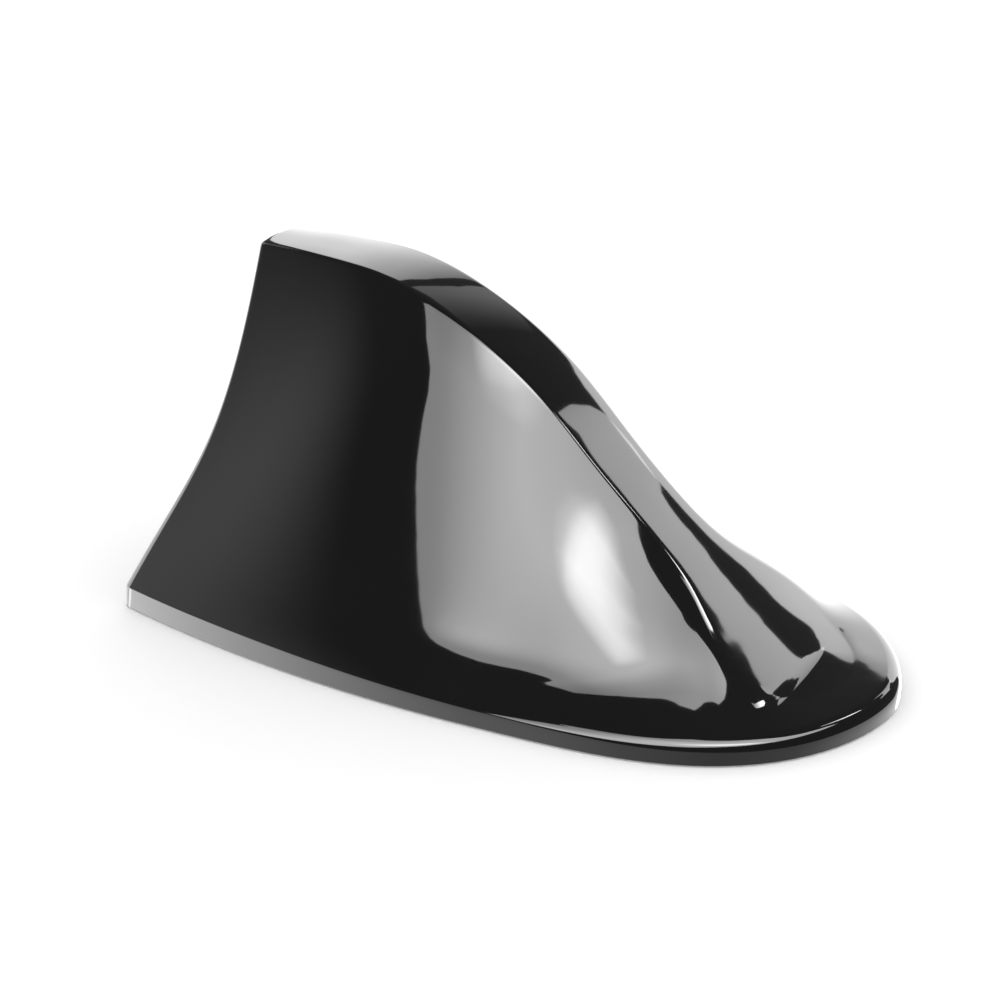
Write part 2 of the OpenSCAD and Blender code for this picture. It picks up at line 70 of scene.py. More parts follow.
# Slope of the plan outline at the rear, and the share of the ribs that stand behind the widest place.
REAR_TAPER = 0.3
SIDE_SHARE = 19 / 46

# The crest's height and its width, two rows each: shares of its length, and the values there as shares of
# their range. The width's first value, at the rear, is CREST_REAR_W.
CREST_X = np.array([0, 0.1, 0.23, 0.36, 0.49, 0.62, 0.735, 0.843, 0.91, 0.935, 0.96, 1.0])
CREST_Z = np.array([1, 0.994, 0.969, 0.877, 0.724, 0.49, 0.297, 0.124, 0.042, 0.018, 0.008, 0.004])
WIDTH_X = np.array([0, 0.28, 0.56, 0.7, 0.76, 0.81, 0.85, 0.9, 1])
SPREAD = np.array([0, 0, -0.018, 0.127, 0.545, 0.864, 1, 1])

# Where along the cover its forms begin, end or fade, and over how much of it, as shares of the length.
ROUND_FROM = 0.8
DOME_FROM = 0.7
DOME_RUN = 0.18
DOME_FULL = 0.84
MIDDLE_BY = 0.36
NOSE_FROM = 0.6
FADE_START = 0.6
CREST_FADE = 0.855
FLANGE_FROM = 0.12
FLANGE_SPAN = 0.5
FLANGE_END = 1.06
FLANGE_FADE = 0.3

# How fast the skirt's roll grows from the rear towards the nose.
ROLL_GROWTH = 1.15

# How far the flank's curve is pulled at its foot and at the crest: along, across and up. One row each for
# the rear, the middle and the nose.
FOOT_PULL = np.array([[0.65, 0.32, 0.41], [0.3, 0.11, 0.41], [0.33, 0.33, 0.32]])
CREST_PULL = np.array([[0.2, 0.49, 0.57], [0.11, 0.36, 0.23], [0.33, 0.33, 0.42]])

# How the inner face keeps off the crest's edge, per millimetre of depth, and its least half width there.
INNER_IN = 0.9
INNER_DOWN = 1.15
INNER_HALF_W = 0.6

# Least values that keep the forms from folding, in millimetres.
LEAST_ROLL = 0.4
LEAST_RISE = 0.3
LEAST_HALF_W = 0.1
LEAST_ROW_W = 0.5

# How far from a sharp edge the surface starts to roll over, in millimetres: at the crest's edges, at the two
# upright rear edges, at the foot of those, and at the foot of the skirt.
EDGE_ROLL = 0.95
REAR_EDGE_ROLL = 0.9
REAR_FOOT_ROLL = 2.4
FOOT_ROLL = 0.5
# Heights between which the rear edges have their wide roll, in millimetres.
WIDE_ROLL_LOW = 3.8
WIDE_ROLL_TOP = 45
# Largest share of a row that a roll may take, and the part of the crest's roll that lies on the flank.
ROLL_SHARE = 0.12
WIDE_ROLL_SHARE = 0.85
FLANK_ROLL = 0.75

# Steps and columns of the outer face, and of the inner one, which follows the solids' own steps.
SIDE_RIBS = 24
NOSE_RIBS = 34
SOLID_RIBS = 46
OUTER_FLANK_STEPS = 22
INNER_FLANK_STEPS = 11
ROLL_STEPS = 4
OUTER_COLUMNS = 9
INNER_COLUMNS = 5
SUBDIVISIONS = 2

# Steps over which directions and slopes are taken, as shares of the ribs and of the length.
NORMAL_STEP = 0.01
SLOPE_STEP = 0.005


# The cover's surface
def mix(a, b, t):
    """Value between a and b at share t."""
    return a + (b - a) * t


def ease(t):
    """Smooth step from 0 to 1."""
    c = np.clip(t, 0, 1)
    return c * c * (3 - 2 * c)


def curve(px, pz, x):
    """Hermite curve through points, with slopes taken from each point's neighbours."""
    s = np.empty(len(px))
    s[1:-1] = (pz[2:] - pz[:-2]) / (px[2:] - px[:-2])
    s[0] = (pz[1] - pz[0]) / (px[1] - px[0])
    s[-1] = (pz[-1] - pz[-2]) / (px[-1] - px[-2])
    i = np.clip(np.searchsorted(px, x, side="left") - 1, 0, len(px) - 2)
    h = px[i + 1] - px[i]
    t = (x - px[i]) / h
    return ((2 * t**3 - 3 * t**2 + 1) * pz[i] + (t**3 - 2 * t**2 + t) * s[i] * h
            + (3 * t**2 - 2 * t**3) * pz[i + 1] + (t**3 - t**2) * s[i + 1] * h)


def half_w(x):
    """Half width of the plan outline at a distance from the rear edge."""
    t = x / WIDEST_AT
    side = ((2 * t**3 - 3 * t**2 + 1) * REAR_W / 2 + (t**3 - 2 * t**2 + t) * REAR_TAPER * WIDEST_AT
            + (3 * t**2 - 2 * t**3) * COVER_W / 2)
    u = np.clip((x - WIDEST_AT) / (COVER_L - WIDEST_AT), 0, 1)
    nose = COVER_W / 2 * np.power(1 - np.power(u, NOSE_POW), 1 / NOSE_ROOT)
    return np.where(x < WIDEST_AT, side, nose)


def along(u, d=0.0):
    """Distance from the rear edge of a rib: u runs from 0 at the rear to 1 at the nose tip."""
    share = np.clip((u - SIDE_SHARE) / (1 - SIDE_SHARE), 0, 1)
    nose = WIDEST_AT + (COVER_L - WIDEST_AT) * np.sin(np.pi / 2 * share)
    return np.where(u <= SIDE_SHARE, mix(d, WIDEST_AT, u / SIDE_SHARE), nose)


def inward(u):
    """Level direction at right angles to the plan outline, towards the inside."""
    before = along(np.clip(u - NORMAL_STEP, 0, 1))
    after = along(np.clip(u + NORMAL_STEP, 0, 1))
    normal = np.stack([half_w(after) - half_w(before), before - after], -1)
    normal /= np.linalg.norm(normal, axis=-1)[:, None] + 1e-12
    normal[u >= 1 - 1e-9] = (-1, 0)
    return normal


def crest_end(f):
    """Share that is left of the crest's squared width where its end is rounded off."""
    return 1 - np.power(np.clip((f - ROUND_FROM) / (1 - ROUND_FROM), 0, 1), ROUND_POW)


def crown(f):
    """Rise of the crest's middle above its edges."""
    return CREST_CROWN * crest_end(f)


def dome(f, y, reach):
    """Gentle rise of the low nose towards its middle; reach is the half width that it covers."""
    fall = np.clip((f - DOME_FULL) / (1 - DOME_FULL), 0, 1)
    height = NOSE_DOME * ease((f - DOME_FROM) / DOME_RUN) * (1 - fall ** 2) ** 2
    return height * (1 - np.clip(y / np.maximum(reach, 1), 0, 1) ** 2) ** 2


def crest_edge(f):
    """Edge between flank and crest at a share of the crest's length."""
    half = curve(WIDTH_X, np.append(CREST_REAR_W, mix(CREST_MID_W, CREST_FRONT_W, SPREAD)) / 2, f)
    half = half * np.sqrt(crest_end(f))
    height = mix(SKIRT_H, CREST_H, curve(CREST_X, CREST_Z, f))
    return np.stack([mix(REAR_LEAN, COVER_L - NOSE_RUN, f), half, height], -1)


def crest_inside(f, d):
    """Edge between flank and crest at depth d inside the outer face."""
    edge = crest_edge(f)
    half = np.maximum(edge[:, 1] - INNER_IN * d, INNER_HALF_W * (1 - f * f) * (d > 0))
    return np.stack([edge[:, 0] + (1 - 2 * f) * d, half, edge[:, 2] - INNER_DOWN * d], -1)


def crest_slopes(f):
    """Slope of the crest's edge along the cover, and of the crest across it at that edge."""
    after = np.minimum(f + SLOPE_STEP, 1)
    fall = (crest_edge(after)[:, 2] - crest_edge(f - SLOPE_STEP)[:, 2])
    fall = fall / (COVER_L - NOSE_RUN - REAR_LEAN) / (after - f + SLOPE_STEP)
    return fall, 2 * crown(f) / np.maximum(crest_edge(f)[:, 1], LEAST_HALF_W)


def pull(f, table):
    """Pull of the flank's curve at one of its ends, from the rear over the middle to the nose."""
    middle = ease(f / MIDDLE_BY)[:, None]
    nose = ease((f - NOSE_FROM) / (1 - NOSE_FROM))[:, None]
    return mix(mix(table[0], table[1], middle), table[2], nose)


def flank(f, normal, start, crest, flange, flare_h, shares):
    """Rows of points up the flank, from start at its foot to the crest's edge."""
    after_foot = start + (crest - start) * pull(f, FOOT_PULL)
    before_crest = crest + (start - crest) * pull(f, CREST_PULL)
    fall, lean = crest_slopes(f)
    away = before_crest - crest
    level = crest[:, 2] + fall * away[:, 0] - lean * away[:, 1]
    fade = ease((f - FADE_START) / (CREST_FADE - FADE_START))
    before_crest[:, 2] = mix(before_crest[:, 2], level, fade)
    reach = start[:, 1] - normal[:, 1] * flange
    rows = []
    for t in shares:
        row = ((1 - t)**3 * start + 3 * (1 - t)**2 * t * after_foot + 3 * (1 - t) * t**2 * before_crest
               + t**3 * crest)
        out = flange * np.clip(1 - (row[:, 2] - start[:, 2]) / flare_h, 0, 1) ** FLANGE_BEND
        row = row - np.stack([normal[:, 0] * out, normal[:, 1] * out, np.zeros(len(f))], -1)
        row[:, 2] += dome(f, row[:, 1], reach)
        rows.append(row)
    rows.append(crest + np.stack([0 * f, 0 * f, dome(f, crest[:, 1], reach)], -1))
    return rows


def ribs(u, flank_steps, roll_steps, d=0.0, edge=None):
    """Points of each rib from the foot up to the crest edge; d is the depth inside the outer face."""
    x = along(u, d)
    f = (x - d) / (COVER_L - d)
    normal = inward(u)
    foot = np.stack([x + d * np.where(u <= 0, 0, normal[:, 0]), half_w(x) + d * normal[:, 1]], -1)
    radius = np.maximum(mix(REAR_ROLL, NOSE_ROLL, ease(f * ROLL_GROWTH)) - d, LEAST_ROLL)
    crest = crest_inside(f, d)
    top = SKIRT_H - d
    flange = FLANGE_W * ease((f - FLANGE_FROM) / FLANGE_SPAN) * ease((FLANGE_END - f) / FLANGE_FADE)
    share = pull(f, FOOT_PULL)
    run = np.hypot((crest[:, 0] - foot[:, 0]) * share[:, 0], (crest[:, 1] - foot[:, 1]) * share[:, 1])
    rise = np.maximum(crest[:, 2] - top, LEAST_RISE)
    flare_h = np.minimum(FLANGE_H, rise)
    slope = run / (rise * share[:, 2]) + FLANGE_BEND * flange / flare_h
    sweep = math.pi / 2 - np.arctan(1 / slope)
    rows = [np.stack([foot[:, 0], foot[:, 1], np.full(len(u), SKIRT_GAP)], -1)]
    if edge:
        rows.append(rows[0] + (0, 0, FOOT_ROLL))
    for j in range(roll_steps):
        angle = sweep * j / roll_steps
        rows.append(np.stack([foot[:, 0] + normal[:, 0] * radius * (1 - np.cos(angle)),
                              foot[:, 1] + normal[:, 1] * radius * (1 - np.cos(angle)),
                              top - radius * (np.sin(sweep) - np.sin(angle))], -1))
    inset = radius * (1 - np.cos(sweep)) + flange
    start = np.stack([foot[:, 0] + normal[:, 0] * inset, foot[:, 1] + normal[:, 1] * inset,
                      np.full(len(u), top)], -1)
    shares = flank_shares(flank_steps, np.linalg.norm(crest - start, axis=-1), edge)
    rows.extend(flank(f, normal, start, crest, flange, flare_h, shares))
    return np.stack(rows, 1)


def flank_shares(steps, length, edge):
    """Shares of the way up the flank at which it has points; with an edge roll the last is near the crest."""
    if not edge:
        return [np.full((len(length), 1), j / steps) for j in range(steps)]
    last = 1 - np.minimum(edge / length * FLANK_ROLL, ROLL_SHARE)
    return [(last * j / steps)[:, None] for j in range(steps + 1)]


def level_loop(side, columns, rise):
    """A closed loop of points at one level: one side, the nose, the other side and the rear wall."""
    places = columns(side[0, 1])[::-1]
    back, half, height = side[0]
    rear = np.stack([np.full(len(places), back), half * places, np.full(len(places), height)], -1)
    rear[:, 2] += rise * (1 - places ** 2)
    return np.concatenate([side * (1, -1, 1), side[-2::-1], rear])


def crest_row(corner, f, columns, reach):
    """Points across the crest between its two edges; corner is the point on one of them."""
    places = columns(corner[1])
    rise = (crown(f) * (1 - places**2) + dome(f, corner[1] * abs(places), reach)
            - dome(f, corner[1], reach))
    return np.stack([np.full(len(places), corner[0]), corner[1] * places, corner[2] + rise], -1)


def skin_faces(side, levels, across, loop):
    """Faces between the loops, and over the crest from edge to edge; side is a side's count of steps."""
    top = (levels - 1) * loop

    def at(i, j):
        if j == 0:
            return top + i
        if j == across + 1:
            return top + 2 * side - i
        return top + loop - j if i == 0 else levels * loop + (i - 1) * across + j - 1

    faces = [(v * loop + i, v * loop + i + loop, v * loop + (i + 1) % loop + loop, v * loop + (i + 1) % loop)
             for v in range(levels - 1) for i in range(loop)]
    faces += [(at(i, j), at(i, j + 1), at(i + 1, j + 1), at(i + 1, j))
              for i in range(side - 1) for j in range(across + 1)]
    return faces + [(at(side - 1, j), at(side - 1, j + 1), top + side) for j in range(across + 1)]


def skin(u, flank_steps, roll_steps, columns, d=0.0, edge=None):
    """Closed loops of points from foot to crest edge and rows across the crest, with their faces."""
    rows = ribs(u, flank_steps, roll_steps, d, edge)
    side = len(u) - 1
    levels = rows.shape[1]
    across = len(columns(1.0))
    loop = 2 * side + 1 + across
    points = []
    for v in range(levels):
        points.extend(level_loop(rows[:, v], columns, crown(0.0) if v == levels - 1 else 0))
    first = levels - 1 - flank_steps - (1 if edge else 0)
    for i in range(1, side):
        f = (along(u[i], d) - d) / (COVER_L - d)
        points.extend(crest_row(rows[i, -1], f, columns, rows[i, first, 1]))
    return (np.array(points) + (-COVER_L / 2, 0, 0)) * MM, skin_faces(side, levels, across, loop), loop


def columns_outer(w):
    """Places across a half width w, with one close to each edge."""
    inner = 1 - min(EDGE_ROLL / max(w, LEAST_ROW_W), ROLL_SHARE)
    return np.concatenate([[-inner], np.linspace(-inner, inner, OUTER_COLUMNS)[1:-1], [inner]])


def columns_inner(w):
    """Places across the inner face, as in the solids; they are the same for any half width w."""
    return np.linspace(-1, 1, INNER_COLUMNS)[1:-1]


def new_object(name, points, faces, smooth=True):
    """A mesh object from points in metres and faces."""
    mesh = bpy.data.meshes.new(name)
    mesh.from_pydata([tuple(p) for p in points], [], faces)
    mesh.validate()
    mesh.polygons.foreach_set("use_smooth", [smooth] * len(mesh.polygons))
    obj = bpy.data.objects.new(name, mesh)
    bpy.context.scene.collection.objects.link(obj)
    return obj


def join(parts):
    """Join objects into the first of them."""
    bpy.ops.object.select_all(action="DESELECT")
    for part in parts:
        part.select_set(True)
    bpy.context.view_layer.objects.active = parts[0]
    bpy.ops.object.join()
    return parts[0]


def apply_modifiers(obj):
    """Turn an object's modifiers into mesh."""
    bpy.context.view_layer.objects.active = obj
    for modifier in list(obj.modifiers):
        bpy.ops.object.modifier_apply(modifier=modifier.name)


def round_rear_edge(points, loop, side):
    """Widen the roll of the two upright rear edges towards the foot; side is a side's count of steps."""
    across = loop - 2 * side - 1
    levels = (len(points) - (side - 1) * across) // loop
    for i in range(0, levels * loop, loop):
        z = points[i, 2] / MM
        foot = np.clip(1 - z / WIDE_ROLL_TOP, 0, 1) * np.clip(z - WIDE_ROLL_LOW, 0, 1)
        roll = mix(REAR_EDGE_ROLL, REAR_FOOT_ROLL, foot) * MM
        far = i + 2 * side
        for edge, after, wall in ((i, i + 1, i + loop - 1), (far, far - 1, far + 1)):
            step = points[after + (1 if after > edge else -1)] - points[edge]
            points[after] = points[edge] + step * min(roll / abs(step[0]), WIDE_ROLL_SHARE)
            points[wall, 1] = points[edge, 1] * (1 - roll / abs(points[edge, 1]))


def make_outside():
    """The glossy outer face, with a rib close to the rear edges and smoothed by subdivision."""
    first = REAR_EDGE_ROLL / WIDEST_AT * SIDE_SHARE
    u = np.concatenate([[0, first], np.linspace(first, SIDE_SHARE, SIDE_RIBS)[1:],
                        np.linspace(SIDE_SHARE, 1, NOSE_RIBS)[1:]])
    points, faces, loop = skin(u, OUTER_FLANK_STEPS, ROLL_STEPS, columns_outer, 0.0, EDGE_ROLL)
    round_rear_edge(points, loop, len(u) - 1)
    outer = new_object("fin_cover", points, faces)
    sub = outer.modifiers.new("round", "SUBSURF")
    sub.levels = sub.render_levels = SUBDIVISIONS
    apply_modifiers(outer)
    return outer


def make_cover():
    """The outer face, the plain inside on the solids' own steps, and the rim that joins them at the foot."""
    outer = make_outside()
    coarse = np.linspace(0, 1, SOLID_RIBS + 1)
    points, faces, loop = skin(coarse, INNER_FLANK_STEPS, ROLL_STEPS, columns_inner, WALL)
    inside = new_object("cover_inside", points, [f[::-1] for f in faces])
    around, _, _ = skin(coarse, INNER_FLANK_STEPS, ROLL_STEPS, columns_inner, 0.0)
    rim_points = np.concatenate([around[:loop], points[:loop]])
    rim_faces = [(i, (i + 1) % loop, loop + (i + 1) % loop, loop + i) for i in range(loop)]
    rim = new_object("cover_rim", rim_points, rim_faces, False)
    return join([outer, inside, rim])


# Materials
def material(name):
    """A new material with its node tree and main shader."""
    finish = bpy.data.materials.new(name)
    finish.use_nodes = True
    tree = finish.node_tree
    return finish, tree, tree.nodes["Principled BSDF"]


def add(tree, kind, **values):
    """Add a node and set its properties or inputs."""
    node = tree.nodes.new(kind)
    for key, value in values.items():
        if hasattr(node, key):
            setattr(node, key, value)
        else:
            node.inputs[key.replace("_", " ")].default_value = value
    return node


def tone(tree, shader, source, low, high):
    """Base colour that wanders between two tones."""
    ramp = add(tree, "ShaderNodeValToRGB")
    ramp.color_ramp.elements[0].position, ramp.color_ramp.elements[1].position = 0.3, 0.7
    ramp.color_ramp.elements[0].color, ramp.color_ramp.elements[1].color = (*low, 1), (*high, 1)
    tree.links.new(source, ramp.inputs["Fac"])
    tree.links.new(ramp.outputs["Color"], shader.inputs["Base Color"])


def bump(tree, shader, source, strength, distance):
    """Relief from a pattern."""
    node = add(tree, "ShaderNodeBump")
    node.inputs["Strength"].default_value, node.inputs["Distance"].default_value = strength, distance
    tree.links.new(source, node.inputs["Height"])
    tree.links.new(node.outputs["Normal"], shader.inputs["Normal"])


def noise(tree, scale, detail=3.0, stretch=(1, 1, 1)):
    """Noise in the object's own space."""
    coord = add(tree, "ShaderNodeTexCoord")
    mapping = add(tree, "ShaderNodeMapping")
    mapping.inputs["Scale"].default_value = stretch
    pattern = add(tree, "ShaderNodeTexNoise")
    pattern.inputs["Scale"].default_value, pattern.inputs["Detail"].default_value = scale, detail
    tree.links.new(coord.outputs["Object"], mapping.inputs["Vector"])
    tree.links.new(mapping.outputs["Vector"], pattern.inputs["Vector"])
    return pattern.outputs["Fac"]


def rough(tree, shader, source, low, high):
    """Roughness that wanders between two values."""
    node = add(tree, "ShaderNodeMapRange")
    node.inputs["To Min"].default_value, node.inputs["To Max"].default_value = low, high
    tree.links.new(source, node.inputs["Value"])
    tree.links.new(node.outputs["Result"], shader.inputs["Roughness"])


def piano_black():
    """High gloss moulded black with the faint waviness of a moulding."""
    finish, tree, shader = material("piano_black")
    tone(tree, shader, noise(tree, 25), (0.0045, 0.0045, 0.0048), (0.0065, 0.0065, 0.0068))
    rough(tree, shader, noise(tree, 60, 4), 0.03, 0.055)
    shader.inputs["IOR"].default_value = 1.5
    bump(tree, shader, noise(tree, 90, 2), 0.05, 0.0004)
    return finish


def grained(name, low, high, grain=900, rough_low=0.45, rough_high=0.6, metallic=0.0, depth=0.3,
            stretch=(1, 1, 1)):
    """A finish with fine grain: two tones, a range of roughness and a bump, stretched where brushed."""
    finish, tree, shader = material(name)
    tone(tree, shader, noise(tree, grain * 0.25, 3, stretch), low, high)
    rough(tree, shader, noise(tree, grain * 0.6, 2, stretch), rough_low, rough_high)
    shader.inputs["Metallic"].default_value = metallic
    bump(tree, shader, noise(tree, grain, 4, stretch), depth, 0.00005)
    return finish


def finishes():
    """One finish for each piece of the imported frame, apart from the cover."""
    return {
        "base_plate": grained("plate_grain", (0.05, 0.05, 0.055), (0.075, 0.075, 0.08), 1400),
        "adhesive_pad": grained("closed_cell_foam", (0.24, 0.24, 0.25), (0.34, 0.34, 0.35), 2200,
                                0.8, 0.95, 0, 0.8),
        "edge_seal": grained("seal_rubber", (0.018, 0.018, 0.018), (0.03, 0.03, 0.03), 1600, 0.6, 0.75),
        "ground_plate": grained("zinc_sheet", (0.6, 0.61, 0.63), (0.74, 0.75, 0.76), 500,
                                0.25, 0.4, 1.0, 0.1, (1, 12, 1)),
        "circuit_board": grained("solder_mask", (0.012, 0.11, 0.05), (0.02, 0.16, 0.075), 700, 0.25, 0.38),
        "shield_can": grained("tin_plate", (0.7, 0.7, 0.7), (0.82, 0.82, 0.81), 300,
                              0.15, 0.3, 1.0, 0.08, (10, 1, 1)),
        "amplifier_chip": grained("chip_body", (0.02, 0.02, 0.022), (0.035, 0.035, 0.036), 3000, 0.5, 0.65),
        "filter_block": grained("fired_ceramic", (0.66, 0.63, 0.56), (0.78, 0.76, 0.7), 2500, 0.45, 0.6),
        "capacitors": grained("capacitor_ceramic", (0.42, 0.3, 0.18), (0.55, 0.42, 0.28), 4000, 0.4, 0.5),
        "resistors": grained("resistor_glaze", (0.02, 0.02, 0.03), (0.05, 0.05, 0.06), 4000, 0.3, 0.45),
        "choke": grained("ferrite", (0.08, 0.075, 0.075), (0.15, 0.14, 0.14), 2500, 0.5, 0.7),
        "coil_former": grained("natural_moulding", (0.72, 0.7, 0.63), (0.82, 0.8, 0.74), 900, 0.4, 0.55),
        "coil_wire": grained("enamelled_copper", (0.42, 0.14, 0.045), (0.58, 0.22, 0.08), 600,
                             0.18, 0.3, 1.0, 0.05),
        "top_plate": grained("plated_cap", (0.6, 0.58, 0.5), (0.74, 0.72, 0.65), 500,
                             0.25, 0.4, 1.0, 0.1, (12, 1, 1)),
        "feed_pin": grained("turned_brass", (0.68, 0.47, 0.16), (0.82, 0.6, 0.24), 900,
                            0.2, 0.32, 1.0, 0.05, (1, 1, 20)),
        "ground_spring": grained("spring_bronze", (0.6, 0.38, 0.14), (0.74, 0.5, 0.22), 900,
                                 0.22, 0.35, 1.0, 0.05, (1, 14, 1)),
        "lead_socket": grained("gold_flash", (0.75, 0.52, 0.18), (0.86, 0.64, 0.28), 900,
                               0.18, 0.28, 1.0, 0.05),
        "lead_grommet": grained("grommet_rubber", (0.015, 0.015, 0.015), (0.028, 0.028, 0.028), 1600,
                                0.6, 0.75),
        "board_screws": grained("screw_zinc", (0.6, 0.6, 0.62), (0.72, 0.72, 0.73), 1200,
                                0.25, 0.4, 1.0, 0.1),
        "cover_screws": grained("cover_screw_zinc", (0.55, 0.55, 0.57), (0.68, 0.68, 0.69), 1200,
                                0.28, 0.42, 1.0, 0.1),
        "former_screw": grained("former_screw_zinc", (0.6, 0.6, 0.62), (0.72, 0.72, 0.73), 1200,
                                0.25, 0.4, 1.0, 0.1),
    }


# Studio

# The camera, fitted to the photograph: degrees round and up, metres away, focal length in its pixels.
CAM_AZ = 25.736
CAM_EL = 24.222
CAM_DIST = 0.386122
FOCAL_PX = 2029.84
PHOTO_PX = 1000
SHIFT_X = -0.02176
SHIFT_Y = 0.0117
SENSOR_MM = 36
# Point that the camera and the cards look at, in metres.
TARGET = Vector((0.0, 0.0, 0.025))
# How much the floor glows for the camera alone, so that its lit parts come out white, and its half width.
FLOOR_LIFT = 0.16
FLOOR_HALF_W = 4.0
# Strength of the surround: for the camera and the floor, and in reflections from the front to the rear.
SURROUND_WHITE = 1.18
SURROUND_FRONT = 0.16
SURROUND_REAR = 1.1
# X of the direction in which the surround starts to brighten, and of that in which it is brightest.
BRIGHTEN_FROM = -0.45
BRIGHTEN_TO = -0.95
# Azimuths at which the light on the skirt, below the horizon, is given.
FLOOR_AZ = (-75, -60, -36, -26, 0, 34, 75, 105, 140, 190)


def direction(azimuth, elevation):
    """Unit vector from the object: azimuth 0 is towards -Y, 90 towards +X."""
    a, e = math.radians(azimuth), math.radians(elevation)
    return Vector((math.sin(a) * math.cos(e), -math.cos(a) * math.cos(e), math.sin(e)))


def make_camera():
    """The camera of the photograph."""
    cam = bpy.data.objects.new("camera", bpy.data.cameras.new("camera"))
    bpy.context.scene.collection.objects.link(cam)
    back = direction(CAM_AZ, CAM_EL)
    cam.location = TARGET + back * CAM_DIST
    cam.rotation_mode = "QUATERNION"
    cam.rotation_quaternion = (-back).to_track_quat("-Z", "Y")
    cam.data.sensor_width = SENSOR_MM
    cam.data.lens = FOCAL_PX / PHOTO_PX * SENSOR_MM
    cam.data.shift_x, cam.data.shift_y = SHIFT_X, SHIFT_Y
    cam.data.clip_start, cam.data.clip_end = 0.01, 100
    bpy.context.scene.camera = cam


def even(line, count):
    """The same line of points again, with count points at even steps along its list."""
    line = np.array(line, float)
    s = np.linspace(0, len(line) - 1, count)
    return np.stack([np.interp(s, np.arange(len(line)), c) for c in line.T], -1)


def lit_card(name, near, far, level, distance=3.0, steps=16, count=33, ends=(1, 1)):
    """A lit card seen only in reflections, between two edges given as (azimuth, elevation) points.

    level is its radiance: one number, a list from the near edge to the far one, or a function of the angles;
    ends scales it along the edges. A card adds its light to what stands behind it.
    """
    a, b = even(near, count), even(far, count)
    spots = [mix(a[j], b[j], i / steps) for i in range(steps + 1) for j in range(count)]
    faces = [(i * count + j, i * count + j + 1, (i + 1) * count + j + 1, (i + 1) * count + j)
             for i in range(steps) for j in range(count - 1)]
    if callable(level):
        glow = [level(*p) for p in spots]
    else:
        across = even([[v] for v in np.atleast_1d(level)] * (2 if np.ndim(level) == 0 else 1), steps + 1)
        glow = (across * even([[v] for v in ends], count).T).ravel()
    card = new_object(name, [TARGET + direction(az, el) * distance for az, el in spots], faces)
    card.data.attributes.new("level", "FLOAT", "POINT").data.foreach_set("value", [float(g) for g in glow])
    dress_card(card, name)


def dress_card(card, name):
    """Let a card glow by its level and pass what stands behind it, for reflections alone."""
    finish = bpy.data.materials.new(name)
    finish.use_nodes = True
    tree = finish.node_tree
    tree.nodes.clear()
    out, glow, level = (add(tree, "ShaderNodeOutputMaterial"), add(tree, "ShaderNodeEmission"),
                        add(tree, "ShaderNodeAttribute"))
    level.attribute_name = "level"
    clear, both = add(tree, "ShaderNodeBsdfTransparent"), add(tree, "ShaderNodeAddShader")
    tree.links.new(level.outputs["Fac"], glow.inputs["Strength"])
    tree.links.new(glow.outputs["Emission"], both.inputs[0])
    tree.links.new(clear.outputs["BSDF"], both.inputs[1])
    tree.links.new(both.outputs["Shader"], out.inputs["Surface"])
    card.data.materials.append(finish)
    card.visible_camera = card.visible_diffuse = card.visible_shadow = False
    card.visible_transmission = card.visible_volume_scatter = False


def make_world():
    """White surround for camera and floor; in reflections a dim one that brightens towards the rear."""
    world = bpy.data.worlds.new("studio")
    bpy.context.scene.world = world
    world.use_nodes = True
    tree = world.node_tree
    tree.nodes.clear()
    out, back = add(tree, "ShaderNodeOutputWorld"), add(tree, "ShaderNodeBackground")
    path = add(tree, "ShaderNodeLightPath")
    coord, split = add(tree, "ShaderNodeTexCoord"), add(tree, "ShaderNodeSeparateXYZ")
    tree.links.new(coord.outputs["Generated"], split.inputs["Vector"])
    surround = add(tree, "ShaderNodeMapRange", interpolation_type="SMOOTHSTEP")
    for key, value in (("From Min", BRIGHTEN_FROM), ("From Max", BRIGHTEN_TO),
                       ("To Min", SURROUND_FRONT), ("To Max", SURROUND_REAR)):
        surround.inputs[key].default_value = value
    tree.links.new(split.outputs["X"], surround.inputs["Value"])
    level = add(tree, "ShaderNodeMix", data_type="FLOAT")
    level.inputs["A"].default_value = SURROUND_WHITE
    tree.links.new(path.outputs["Is Glossy Ray"], level.inputs["Factor"])
    tree.links.new(surround.outputs["Result"], level.inputs["B"])
    tree.links.new(level.outputs["Result"], back.inputs["Strength"])
    tree.links.new(back.outputs["Background"], out.inputs["Surface"])


def make_floor():
    """Pale floor, lifted for the camera so that lit parts come out white and the shadow stays."""
    half = FLOOR_HALF_W
    corners = [(-half, -half, 0), (half, -half, 0), (half, half, 0), (-half, half, 0)]
    floor = new_object("floor", corners, [(0, 1, 2, 3)], False)
    finish, tree, shader = material("floor_white")
    tone(tree, shader, noise(tree, 3), (0.97, 0.97, 0.97), (0.99, 0.99, 0.99))
    shader.inputs["Roughness"].default_value = 0.9
    shader.inputs["Specular IOR Level"].default_value = 0.0
    shader.inputs["Emission Color"].default_value = (1, 1, 1, 1)
    path, lift = add(tree, "ShaderNodeLightPath"), add(tree, "ShaderNodeMath", operation="MULTIPLY")
    lift.inputs[1].default_value = FLOOR_LIFT
    tree.links.new(path.outputs["Is Camera Ray"], lift.inputs[0])
    tree.links.new(lift.outputs["Value"], shader.inputs["Emission Strength"])
    floor.data.materials.append(finish)
    floor.visible_glossy = False


def rear_level(az, el):
    """Radiance of the rear box: bright for the far flank, falling towards its edge for the crest."""
    side = np.interp(az, [155, 168, 182, 195, 222], [4.3, 4.2, 3.6, 3, 3.2])
    low = side * np.interp(el, [-35, 12], [0.6, 1])
    crest = np.interp(az, [187, 189.5, 192, 196.5, 201, 210, 216], [0.5, 1.2, 1.6, 2.4, 2.9, 3.2, 3.7])
    return mix(low, crest, np.clip((el - 24) / 6, 0, 1))


